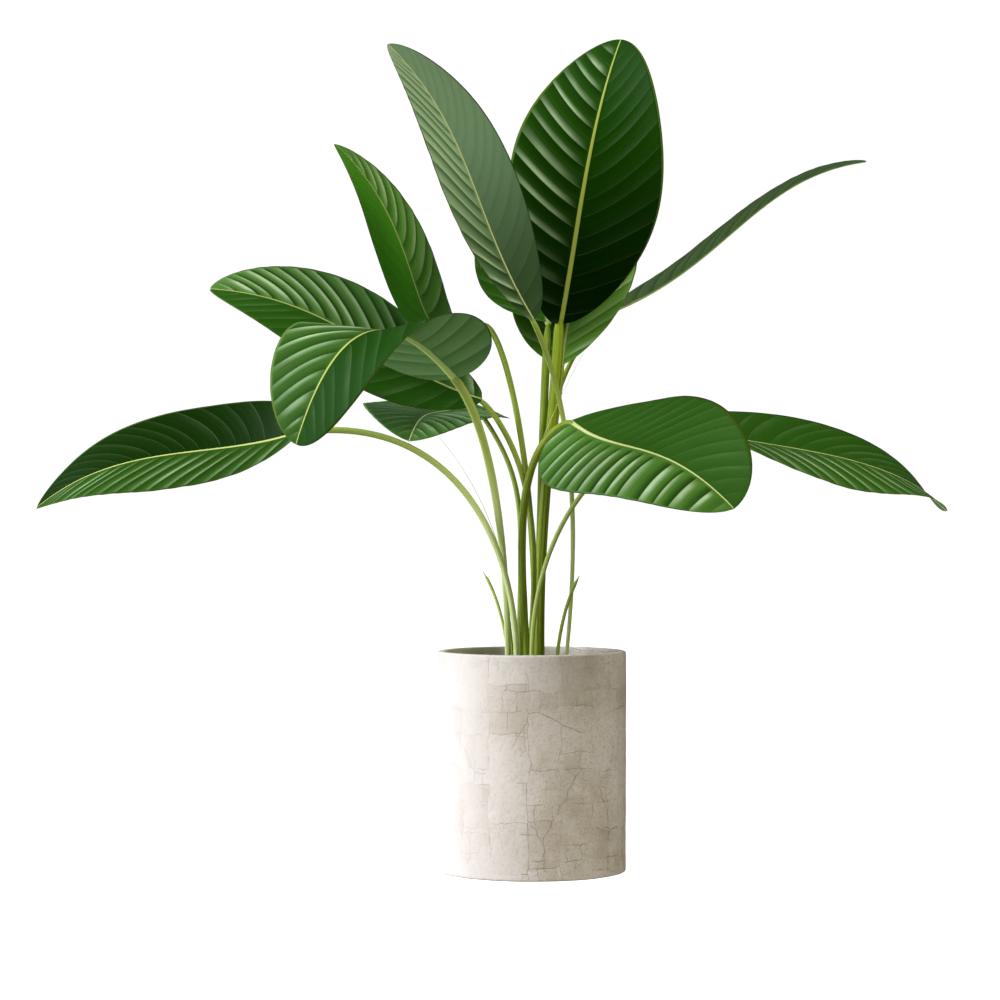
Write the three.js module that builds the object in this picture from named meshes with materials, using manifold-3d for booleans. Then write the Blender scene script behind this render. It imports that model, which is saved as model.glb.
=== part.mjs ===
// Potted bird of paradise: a straight round plaster pot filled with soil, twelve large ribbed leaves on
// their own stalks, and three young shoots. Millimetres, +Z up, origin in the middle of the pot's
// underside. The front of the plant is seen looking along +Y, with +X to the right.
import * as THREE from 'three';
import { mergeVertices } from 'three/addons/utils/BufferGeometryUtils.js';
import Module from 'manifold-3d';

const wasm = await Module();
wasm.setup();

// Pot
const potRadius = 150;
const potHeight = 348;
const potWall = 14;
const potFloor = 20;
const potEdge = 3;          // rounding of the lip and of the foot
const potSides = 48;

// Soil: fills the pot to a low mound a little below the lip
const soilTop = 318;
const soilMound = 5;
const touchGap = 0.3;       // between pieces that bear on each other
const holeClearance = 0.6;  // round a stalk in the soil

// Stalks
const stalkFoot = 280;      // height of a stalk's lower end, inside the soil
const stalkSides = 8;
const stalkSteps = 12;
const shootSides = 6;
const shootSteps = 7;

// Leaf blades
const bladeThickness = 0.8;
const veinPairs = 11;       // side veins each side of the rib
const veinLead = 0.22;      // how far a vein runs forward before the margin, in blade lengths
const veinBend = 1.4;       // above 1, a vein leaves the rib steeply and sweeps forward later
const pleatHeight = 1.8;    // the blade swells this much between two veins
const ribTip = 0.9;         // half width of the rib at the blade's tip
const ribDrop = 1.1;        // depth of the rib below the blade, in half widths
const ribTaper = 0.8;

// Each leaf. foot: where its stalk leaves the pot's middle, x and y. stalk: the two handles of the
// stalk's curve. radius: of the stalk at its foot and at the blade. rib: the midrib's curve, from
// the stalk to the tip. side: the direction of the blade's right half at the base and at the tip.
// half: greatest half width. fold: rise of both halves from the rib, in degrees, at base and tip.
// curl: droop of the left and the right margin. outline: fullness at the base and at the tip.
const leaves = {
  'left-low': {
    foot: [-25, -40], stalk: [[-9, -73, 539], [-134, -100, 724]], radius: [4.6, 5],
    rib: [[-359, -106, 692], [-509, -2, 646], [-648, -31, 684], [-784, -8, 574]],
    side: [[0, 0.81, 0.58], [0.17, 0.84, 0.51]],
    half: 115, fold: [14, 6], curl: [0.12, 0.06], outline: [0.5, 0.63],
  },
  'left-high': {
    foot: [-9, -16], stalk: [[13, -19, 489], [15, -24, 637]], radius: [4.6, 4.2],
    rib: [[-78, -29, 745], [-243, -30, 795], [-312, -73, 905], [-503, -75, 916]],
    side: [[0.5, 0.81, 0.3], [0.52, 0.71, 0.47]],
    half: 114, fold: [5, 9], curl: [0.09, 0.05], outline: [0.52, 0.64],
  },
  'front-left': {
    foot: [-37, -16], stalk: [[-36, -30, 504], [-60, -104, 694]], radius: [4.4, 6.6],
    rib: [[-118, -176, 771], [-197, -334, 861], [-277, -466, 881], [-344, -423, 667]],
    side: [[-0.88, 0.41, -0.24], [-0.74, 0.61, 0.27]],
    half: 122, fold: [6, 9], curl: [-0.04, 0.03], outline: [0.45, 0.54],
  },
  'upper-left': {
    foot: [-1, 22], stalk: [[25, 22, 600], [-54, 7, 938]], radius: [5, 4.6],
    rib: [[-89, 20, 851], [-215, 83, 812], [-154, 99, 1015], [-320, 131, 1168]],
    side: [[0.41, 0.91, 0.06], [0.48, 0.87, 0]],
    half: 100, fold: [5, 8], curl: [0.09, 0.08], outline: [0.5, 0.64],
  },
  'tall-left': {
    foot: [48, -10], stalk: [[82, -5, 543], [66, 13, 734]], radius: [2.9, 4.2],
    rib: [[1, -136, 864], [-99, -157, 1028], [-88, -181, 1149], [-222, -171, 1284]],
    side: [[0.61, 0.77, -0.17], [0.7, 0.71, 0.06]],
    half: 98, fold: [18, 12], curl: [0.09, 0.12], outline: [0.5, 0.63],
  },
  'tall-middle': {
    foot: [14, 4], stalk: [[5, 5, 548], [37, 12, 698]], radius: [8.4, 8.8],
    rib: [[44, 10, 866], [74, -33, 1016], [89, -47, 1174], [142, -5, 1317]],
    side: [[0.72, 0.48, 0.5], [0.89, -0.41, 0.2]],
    half: 122, fold: [12, 3], curl: [0.07, -0.09], outline: [0.53, 0.56],
  },
  'back-right': {
    foot: [16, 56], stalk: [[-3, 62, 515], [35, 59, 649]], radius: [5.4, 5.4],
    rib: [[49, 78, 803], [63, 191, 897], [93, 299, 1007], [101, 387, 1128]],
    side: [[0.99, -0.1, 0.13], [1, 0, 0]],
    half: 111, fold: [23, 18], curl: [0.05, 0.04], outline: [0.53, 0.6],
  },
  'back-middle': {
    foot: [6, 40], stalk: [[17, 40, 539], [16, 22, 690]], radius: [6, 6.2],
    rib: [[27, 24, 870], [22, 124, 893], [21, 222, 996], [-13, 328, 1114]],
    side: [[1, 0, 0], [1, 0, 0]],
    half: 112, fold: [13, 14], curl: [0.05, 0.05], outline: [0.5, 0.62],
  },
  'hanging-left': {
    foot: [-17, 6], stalk: [[-26, 45, 544], [16, 151, 599]], radius: [4.6, 3.8],
    rib: [[-94, 205, 747], [-160, 88, 716], [-172, -22, 742], [-191, -103, 678]],
    side: [[-0.99, -0.07, 0.1], [-1, 0, 0.05]],
    half: 114, fold: [-1, 8], curl: [0.02, 0], outline: [0.47, 0.59],
  },
  'right-high': {
    foot: [6, 80], stalk: [[33, 118, 588], [-11, 210, 778]], radius: [4.4, 3.8],
    rib: [[139, 273, 905], [329, 258, 979], [377, 233, 1128], [556, 196, 1147]],
    side: [[-0.07, -0.99, -0.09], [-0.14, -0.99, -0.09]],
    half: 114, fold: [19, 9], curl: [0.09, 0.1], outline: [0.49, 0.62],
  },
  'front-right': {
    foot: [-6, -46], stalk: [[-13, -49, 476], [-43, -38, 662]], radius: [6.4, 5.6],
    rib: [[59, -63, 711], [126, -232, 646], [184, -340, 690], [287, -432, 574]],
    side: [[-0.78, -0.36, -0.51], [-0.88, -0.24, -0.4]],
    half: 126, fold: [-5, 16], curl: [-0.09, 0.15], outline: [0.46, 0.5],
  },
  'right-low': {
    foot: [2, -70], stalk: [[-18, -68, 507], [84, -70, 669]], radius: [3.6, 3.8],
    rib: [[243, -62, 696], [411, 20, 664], [571, 9, 663], [658, -10, 570]],
    side: [[0.49, -0.82, -0.3], [0.6, -0.61, -0.52]],
    half: 115, fold: [14, -4], curl: [-0.02, 0.13], outline: [0.51, 0.62],
  },
};

// Young shoots: pointed, from the soil to the tip of their curve
const shoots = {
  right: { curve: [[36, -26, stalkFoot], [38, -28, 350], [48, -34, 420], [75, -42, 468]], radius: [2.6, 0.8] },
  left: { curve: [[-34, 16, stalkFoot], [-35, 18, 360], [-50, 22, 430], [-77, 26, 472]], radius: [2.2, 0.8] },
  short: { curve: [[-27, -4, stalkFoot], [-27, -3, 320], [-31, 0, 360], [-35, 2, 402]], radius: [2.6, 0.8] },
};

const finishes = {
  plaster: new THREE.MeshStandardMaterial({ color: 0xd6ccc2, roughness: 0.85, metalness: 0 }),
  soil: new THREE.MeshStandardMaterial({ color: 0x2e2118, roughness: 0.95, metalness: 0 }),
  blade: new THREE.MeshStandardMaterial({ color: 0x2c5a1e, roughness: 0.38, metalness: 0 }),
  stalk: new THREE.MeshStandardMaterial({ color: 0x86a04c, roughness: 0.45, metalness: 0 }),
};

const vector = (p) => new THREE.Vector3(...p);
const { lerp, degToRad, clamp } = THREE.MathUtils;

function bezier(points) {
  return new THREE.CubicBezierCurve3(...points.map(vector));
}

// Solid of revolution about +Z from a closed profile of [radius, height] points
function turned(profile) {
  const geometry = new THREE.LatheGeometry(profile.map((p) => new THREE.Vector2(...p)), potSides);
  geometry.rotateX(Math.PI / 2);
  return geometry;
}

// Round stalk along a curve, its radius changing evenly from end to end
function stalkAlong(curve, [first, last], sides, steps, extra = 0) {
  const corner = (_, i) => {
    const turn = (2 * Math.PI * i) / sides;
    return new THREE.Vector2(Math.cos(turn), Math.sin(turn));
  };
  const section = new THREE.Shape(Array.from({ length: sides }, corner));
  const options = { steps, bevelEnabled: false, extrudePath: curve };
  const geometry = new THREE.ExtrudeGeometry(section, options);
  const centres = curve.getSpacedPoints(steps);
  const place = geometry.attributes.position;
  const point = new THREE.Vector3();
  for (let i = 0; i < place.count; i += 1) {
    point.fromBufferAttribute(place, i);
    const step = centres.reduce((best, c, j) =>
      (c.distanceTo(point) < centres[best].distanceTo(point) ? j : best), 0);
    const radius = lerp(first, last, step / steps) + extra;
    point.sub(centres[step]).setLength(radius).add(centres[step]);
    place.setXYZ(i, ...point.toArray());
  }
  return geometry;
}

function asSolid(geometry) {
  const bare = geometry.clone();
  bare.deleteAttribute('normal');
  bare.deleteAttribute('uv');
  const merged = mergeVertices(bare, 1e-4);
  const mesh = { numProp: 3, vertProperties: merged.attributes.position.array, triVerts: merged.index.array };
  return new wasm.Manifold(new wasm.Mesh(mesh));
}

function asGeometry(solid) {
  const { vertProperties, triVerts } = solid.getMesh();
  const geometry = new THREE.BufferGeometry();
  geometry.setAttribute('position', new THREE.BufferAttribute(vertProperties, 3));
  geometry.setIndex(new THREE.BufferAttribute(triVerts, 1));
  return geometry;
}

// The curve of a leaf's stalk. It is first drawn short, then lengthened until it stands just clear of
// the blade it carries.
function stalkCurve({ foot, stalk, rib, radius }, blade) {
  const start = [...foot, stalkFoot];
  const arrival = bezier([start, ...stalk, rib[0]]).getTangent(1);
  const carried = asSolid(blade);
  let curve;
  let shortening = 2 * radius[1];
  for (let i = 0; i < 6; i += 1) {
    const end = vector(rib[0]).addScaledVector(arrival, -shortening);
    curve = bezier([start, ...stalk, end.toArray()]);
    const rod = asSolid(stalkAlong(curve, radius, stalkSides, stalkSteps));
    shortening += touchGap - rod.minGap(carried, 4 * radius[1]);
  }
  return curve;
}

// Half width of a blade at a share of its length, from its fullness at the base and at the tip
function halfWidth({ half, outline: [base, tip] }, along) {
  const widest = base / (base + tip);
  return half * (along / widest) ** base * ((1 - along) / (1 - widest)) ** tip;
}

// A blade. Its rows follow the side veins: a row leaves the rib at one share of the length and meets
// the margin further forward. Odd rows lie between two veins, where the blade swells.
function bladeGeometry(leaf) {
  const rib = bezier(leaf.rib);
  const rows = 2 * veinPairs;
  const steps = [1, 0.67, 0.34, 0];
  const columns = [...steps.map((out) => [-1, out]), [0, 0], ...steps.toReversed().map((out) => [1, out])];
  const leftEdge = steps.length - 1;
  const rightEdge = leftEdge + 2;
  const ribHalf = (along) => lerp(leaf.radius[1] * 0.85, ribTip, along ** ribTaper);

  function middle(row, column) {
    const [side, out] = columns[column];
    const start = row / rows;
    const reach = start + 4 * veinLead * start * (1 - start);
    const along = lerp(start, reach, out ** veinBend);
    const wide = Math.max(halfWidth(leaf, reach), ribHalf(reach));
    const across = side === 0 ? 0 : lerp(ribHalf(start), wide, out);
    const lift = degToRad(lerp(leaf.fold[0], leaf.fold[1], along));
    const curl = side < 0 ? leaf.curl[0] : leaf.curl[1];
    const swell = (row % 2 ? 0.5 : -0.5) * pleatHeight * Math.min(1, 3 * out) * (1 - 0.5 * out);
    const height = across * Math.sin(lift) - (curl * across ** 2) / leaf.half + swell;
    const forward = rib.getTangentAt(along);
    const right = vector(leaf.side[0]).lerp(vector(leaf.side[1]), along);
    right.addScaledVector(forward, -right.dot(forward)).normalize();
    const up = right.clone().cross(forward);
    return rib.getPointAt(along)
      .addScaledVector(right, side * across * Math.cos(lift))
      .addScaledVector(up, height);
  }

  // Both ends close to the width of the rib, so their outer columns fall on its edges
  const columnAt = (row, column) => (row % rows ? column : clamp(column, leftEdge, rightEdge));
  const grid = [];
  for (let row = 0; row <= rows; row += 1) {
    grid.push(columns.map((_, column) => middle(row, columnAt(row, column))));
  }
  const quads = [];
  for (let row = 0; row < rows; row += 1) {
    for (let column = 0; column < columns.length - 1; column += 1) {
      quads.push([[row, column], [row, column + 1], [row + 1, column + 1], [row + 1, column]]);
    }
  }
  const halves = ([a, b, c, d]) => [[a, b, c], [a, c, d]];
  const key = ([row, column]) => row * columns.length + columnAt(row, column);
  const normals = new Map();
  for (const [a, b, c] of quads.flatMap(halves)) {
    const [p, q, r] = [a, b, c].map(([row, column]) => grid[row][column]);
    const area = q.clone().sub(p).cross(r.clone().sub(p));
    for (const corner of [a, b, c]) {
      const sum = normals.get(key(corner)) ?? new THREE.Vector3();
      normals.set(key(corner), sum.add(area));
    }
  }

  // The same triangles on both faces; the rib stands below the lower face
  const thin = bladeThickness / 2;
  function vertex([row, column], face) {
    const middleColumn = columns[column][0] === 0;
    const deep = face < 0 && middleColumn ? ribDrop * ribHalf(row / rows) : 0;
    const normal = normals.get(key([row, column])).clone().normalize();
    return grid[row][column].clone().addScaledVector(normal, face * (thin + deep));
  }
  const places = [];
  function addTriangle(corners) {
    const keys = corners.map(([spot, face]) => 2 * key(spot) + (face > 0 ? 1 : 0));
    if (new Set(keys).size < 3) return;
    for (const [spot, face] of corners) {
      places.push(...vertex([spot[0], columnAt(...spot)], face).toArray());
    }
  }
  for (const [a, b, c] of quads.flatMap(halves)) {
    addTriangle([[a, 1], [b, 1], [c, 1]]);
    addTriangle([[a, -1], [c, -1], [b, -1]]);
  }
  const last = columns.length - 1;
  const rim = [];
  for (let column = 0; column < last; column += 1) rim.push([0, column]);
  for (let row = 0; row < rows; row += 1) rim.push([row, last]);
  for (let column = last; column > 0; column -= 1) rim.push([rows, column]);
  for (let row = rows; row > 0; row -= 1) rim.push([row, 0]);
  rim.forEach((a, i) => {
    const b = rim[(i + 1) % rim.length];
    addTriangle([[a, 1], [a, -1], [b, -1]]);
    addTriangle([[a, 1], [b, -1], [b, 1]]);
  });
  const geometry = new THREE.BufferGeometry();
  geometry.setAttribute('position', new THREE.Float32BufferAttribute(places, 3));
  return geometry;
}

function potGeometry() {
  const inner = potRadius - potWall;
  const soft = potEdge * 0.3;
  return turned([
    [0, 0],
    [potRadius - potEdge, 0], [potRadius - soft, soft], [potRadius, potEdge],
    [potRadius, potHeight - potEdge], [potRadius - soft, potHeight - soft], [potRadius - potEdge, potHeight],
    [inner + potEdge, potHeight], [inner + soft, potHeight - soft], [inner, potHeight - potEdge],
    [inner, potFloor], [0, potFloor],
  ]);
}

// Soil with a plain hole for every stalk and shoot
function soilGeometry(cutters) {
  const radius = potRadius - potWall - touchGap;
  const bottom = potFloor + touchGap;
  const plug = turned([
    [0, bottom], [radius, bottom], [radius, soilTop - soilMound / 2],
    [radius * 0.6, soilTop + soilMound / 2], [0, soilTop + soilMound],
  ]);
  const holes = cutters.map((cutter) => asSolid(cutter.translate(0, 0, -touchGap)));
  return asGeometry(holes.reduce((soil, hole) => soil.subtract(hole), asSolid(plug)));
}

const group = new THREE.Group();

function addPiece(name, geometry, finish) {
  const mesh = new THREE.Mesh(geometry, finishes[finish]);
  mesh.name = name;
  group.add(mesh);
}

const blades = {};
const rods = {};
for (const [name, leaf] of Object.entries(leaves)) {
  blades[name] = bladeGeometry(leaf);
  rods[`stalk-${name}`] = [stalkCurve(leaf, blades[name]), leaf.radius, stalkSides, stalkSteps];
}
for (const [name, shoot] of Object.entries(shoots)) {
  rods[`shoot-${name}`] = [bezier(shoot.curve), shoot.radius, shootSides, shootSteps];
}
const cutters = Object.values(rods).map((rod) => stalkAlong(...rod, holeClearance));

addPiece('pot', potGeometry(), 'plaster');
addPiece('soil', soilGeometry(cutters), 'soil');
for (const [name, rod] of Object.entries(rods)) addPiece(name, stalkAlong(...rod), 'stalk');
for (const [name, blade] of Object.entries(blades)) addPiece(`leaf-${name}`, blade, 'blade');

export default group;
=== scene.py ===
import math

import bpy
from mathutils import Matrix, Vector, noise


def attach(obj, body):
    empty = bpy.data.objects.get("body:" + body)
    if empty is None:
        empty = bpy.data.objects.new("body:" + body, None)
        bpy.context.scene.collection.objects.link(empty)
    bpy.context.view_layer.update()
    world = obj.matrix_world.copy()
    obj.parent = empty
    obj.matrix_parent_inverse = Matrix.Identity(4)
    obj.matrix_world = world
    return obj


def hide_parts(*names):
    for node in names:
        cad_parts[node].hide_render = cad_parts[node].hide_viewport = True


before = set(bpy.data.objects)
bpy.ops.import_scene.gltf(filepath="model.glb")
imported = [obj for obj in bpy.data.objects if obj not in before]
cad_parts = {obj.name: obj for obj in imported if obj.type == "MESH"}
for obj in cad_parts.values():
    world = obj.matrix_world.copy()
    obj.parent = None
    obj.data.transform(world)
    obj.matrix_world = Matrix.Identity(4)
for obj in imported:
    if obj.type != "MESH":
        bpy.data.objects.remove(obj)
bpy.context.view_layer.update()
print('frame loaded')

# Looks of a potted bird of paradise. Metres, +Z up, the pot's underside centred on the origin, the front
# of the plant seen looking along +Y.


# Small tools first: sockets with arithmetic, node trees, meshes.

def isArrow(part):
    if isinstance(part, Wire):
        return part.socket.type in {'VECTOR', 'RGBA'}
    return isinstance(part, (tuple, Vector))


def combine(operation, first, second):
    board = (first if isinstance(first, Wire) else second).board
    arrows = isArrow(first), isArrow(second)
    if not any(arrows):
        return board.maths(operation, first, second)
    if operation == 'MULTIPLY' and not all(arrows):
        arrow, size = (first, second) if arrows[0] else (second, first)
        return board.add('ShaderNodeVectorMath', {'operation': 'SCALE'}, {0: arrow, 3: size})
    return board.add('ShaderNodeVectorMath', {'operation': operation}, {0: first, 1: second})


# A socket of a node tree. Arithmetic on it adds the nodes that work it out.
class Wire:
    def __init__(self, board, socket):
        self.board = board
        self.socket = socket

    def __add__(self, other):
        return combine('ADD', self, other)

    def __radd__(self, other):
        return combine('ADD', other, self)

    def __sub__(self, other):
        return combine('SUBTRACT', self, other)

    def __rsub__(self, other):
        return combine('SUBTRACT', other, self)

    def __mul__(self, other):
        return combine('MULTIPLY', self, other)

    def __rmul__(self, other):
        return combine('MULTIPLY', other, self)

    def __truediv__(self, other):
        return combine('DIVIDE', self, other)

    def __rtruediv__(self, other):
        return combine('DIVIDE', other, self)

    def __pow__(self, other):
        return combine('POWER', self, other)

    def __lt__(self, other):
        return combine('LESS_THAN', self, other)

    def __gt__(self, other):
        return combine('GREATER_THAN', self, other)

    def __neg__(self):
        return self * -1

    def __abs__(self):
        return self.board.maths('ABSOLUTE', self)

    # another output of the same node
    def beside(self, name):
        return Wire(self.board, self.socket.node.outputs[name])


# A node tree that is being built
class Board:
    def __init__(self, tree):
        self.tree = tree

    # one node: its type, its settings (a ramp's stops among them), its sockets' values or links
    def add(self, kind, settings=None, sockets=None, out=0):
        node = self.tree.nodes.new(kind)
        for key, value in (settings or {}).items():
            if key == 'stops':
                self.setStops(node.color_ramp, value)
            else:
                setattr(node, key, value)
        for key, value in (sockets or {}).items():
            if isinstance(value, Wire):
                self.tree.links.new(value.socket, node.inputs[key])
            else:
                node.inputs[key].default_value = value
        return Wire(self, node.outputs[out]) if node.outputs else node

    def setStops(self, ramp, stops):
        while len(ramp.elements) < len(stops):
            ramp.elements.new(0.5)
        for element, (place, colour) in zip(ramp.elements, stops):
            element.position = place
            element.color = colour

    def maths(self, operation, *values):
        return self.add('ShaderNodeMath', {'operation': operation}, dict(enumerate(values)))

    def arrows(self, operation, *values, out=0):
        return self.add('ShaderNodeVectorMath', {'operation': operation}, dict(enumerate(values)), out)

    # 0 to 1 with a soft start and end as value goes from start to end
    def ease(self, value, start, end):
        sockets = {'Value': value, 'From Min': start, 'From Max': end}
        return self.add('ShaderNodeMapRange', {'interpolation_type': 'SMOOTHSTEP'}, sockets)

    def noise(self, place, scale, detail=2.0, roughness=0.5, dimensions='3D'):
        settings = {'noise_dimensions': dimensions}
        sockets = {'Scale': scale, 'Detail': detail, 'Roughness': roughness}
        sockets['W' if dimensions == '1D' else 'Vector'] = place
        return self.add('ShaderNodeTexNoise', settings, sockets)

    def blend(self, share, first, second, how='MIX'):
        settings = {'data_type': 'RGBA', 'blend_type': how, 'clamp_factor': True}
        return self.add('ShaderNodeMix', settings, {0: share, 6: first, 7: second}, out=2)

    def triple(self, x=0.0, y=0.0, z=0.0):
        return self.add('ShaderNodeCombineXYZ', None, {0: x, 1: y, 2: z})

    def apart(self, arrow):
        first = self.add('ShaderNodeSeparateXYZ', None, {0: arrow})
        return [first.beside(i) for i in range(3)]


def mix(first, second, share):
    return first + (second - first) * share


# colour from 0 to 255 values as seen on a screen
def hue(red, green, blue):
    def linear(value):
        value /= 255
        return value / 12.92 if value <= 0.04045 else ((value + 0.055) / 1.055) ** 2.4
    return (linear(red), linear(green), linear(blue), 1.0)


# a tree and a wire from each of its inputs, which are listed under their kinds
def newTree(name, inputs):
    tree = bpy.data.node_groups.new(name, 'GeometryNodeTree')
    for kind, labels in inputs.items():
        for label in labels:
            tree.interface.new_socket(name=label, in_out='INPUT', socket_type='NodeSocket' + kind)
    tree.interface.new_socket(name='Geometry', in_out='OUTPUT', socket_type='NodeSocketGeometry')
    board = Board(tree)
    entry = tree.nodes.new('NodeGroupInput')
    return board, {label: Wire(board, entry.outputs[label]) for labels in inputs.values() for label in labels}


# every tree ends here: shading, real geometry, material
def closeTree(board, geometry, material):
    smooth = board.add('GeometryNodeSetShadeSmooth', None, {0: geometry})
    real = board.add('GeometryNodeRealizeInstances', None, {0: smooth})
    dressed = board.add('GeometryNodeSetMaterial', None, {0: real, 'Material': material})
    leave = board.tree.nodes.new('NodeGroupOutput')
    board.tree.links.new(dressed.socket, leave.inputs[0])
    return board.tree


def keep(board, geometry, name, value):
    settings = {'data_type': 'FLOAT', 'domain': 'POINT'}
    return board.add('GeometryNodeStoreNamedAttribute', settings, {0: geometry, 'Name': name, 'Value': value})


def linked(name, mesh):
    thing = bpy.data.objects.new(name, mesh)
    bpy.context.scene.collection.objects.link(thing)
    return thing


# a plain mesh from a node tree: values go to its named inputs, start is a mesh that it works on
def grown(name, tree, values, start=None):
    rough = linked(name + '-rough', start or bpy.data.meshes.new(name + '-start'))
    modifier = rough.modifiers.new('nodes', 'NODES')
    modifier.node_group = tree
    for item in tree.interface.items_tree:
        if item.item_type != 'SOCKET' or item.in_out != 'INPUT' or item.name not in values:
            continue
        value = values[item.name]
        if item.socket_type == 'NodeSocketFloat':
            value = float(value)
        if item.socket_type == 'NodeSocketVector':
            value = tuple(float(number) for number in value)
        modifier[item.identifier] = value
    bpy.context.view_layer.update()
    graph = bpy.context.evaluated_depsgraph_get()
    mesh = bpy.data.meshes.new_from_object(rough.evaluated_get(graph))
    mesh.name = name
    bpy.data.objects.remove(rough)
    return linked(name, mesh)


def newMaterial(name, **constants):
    material = bpy.data.materials.new(name)
    material.use_nodes = True
    board = Board(material.node_tree)
    shader = material.node_tree.nodes['Principled BSDF']
    for label, value in constants.items():
        shader.inputs[label.replace('_', ' ')].default_value = value
    return material, board, shader


def feed(board, shader, **wires):
    for label, wire in wires.items():
        board.tree.links.new(wire.socket, shader.inputs[label.replace('_', ' ')])


def attribute(board, name):
    return board.add('ShaderNodeAttribute', {'attribute_name': name}, out='Fac')


def place(thing, slot, *nodes):
    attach(thing, 'root')
    if nodes:
        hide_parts(*nodes)


# the camera stands level in front of the plant
view = {'place': (-0.05, -4.68, 0.587), 'lens': 106.2, 'sensor': 36.0}

cameraData = bpy.data.cameras.new('camera')
cameraData.lens = view['lens']
cameraData.sensor_width = view['sensor']
camera = bpy.data.objects.new('camera', cameraData)
camera.location = view['place']
camera.rotation_euler = (math.pi / 2, 0, 0)
bpy.context.scene.collection.objects.link(camera)
bpy.context.scene.camera = camera


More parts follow.
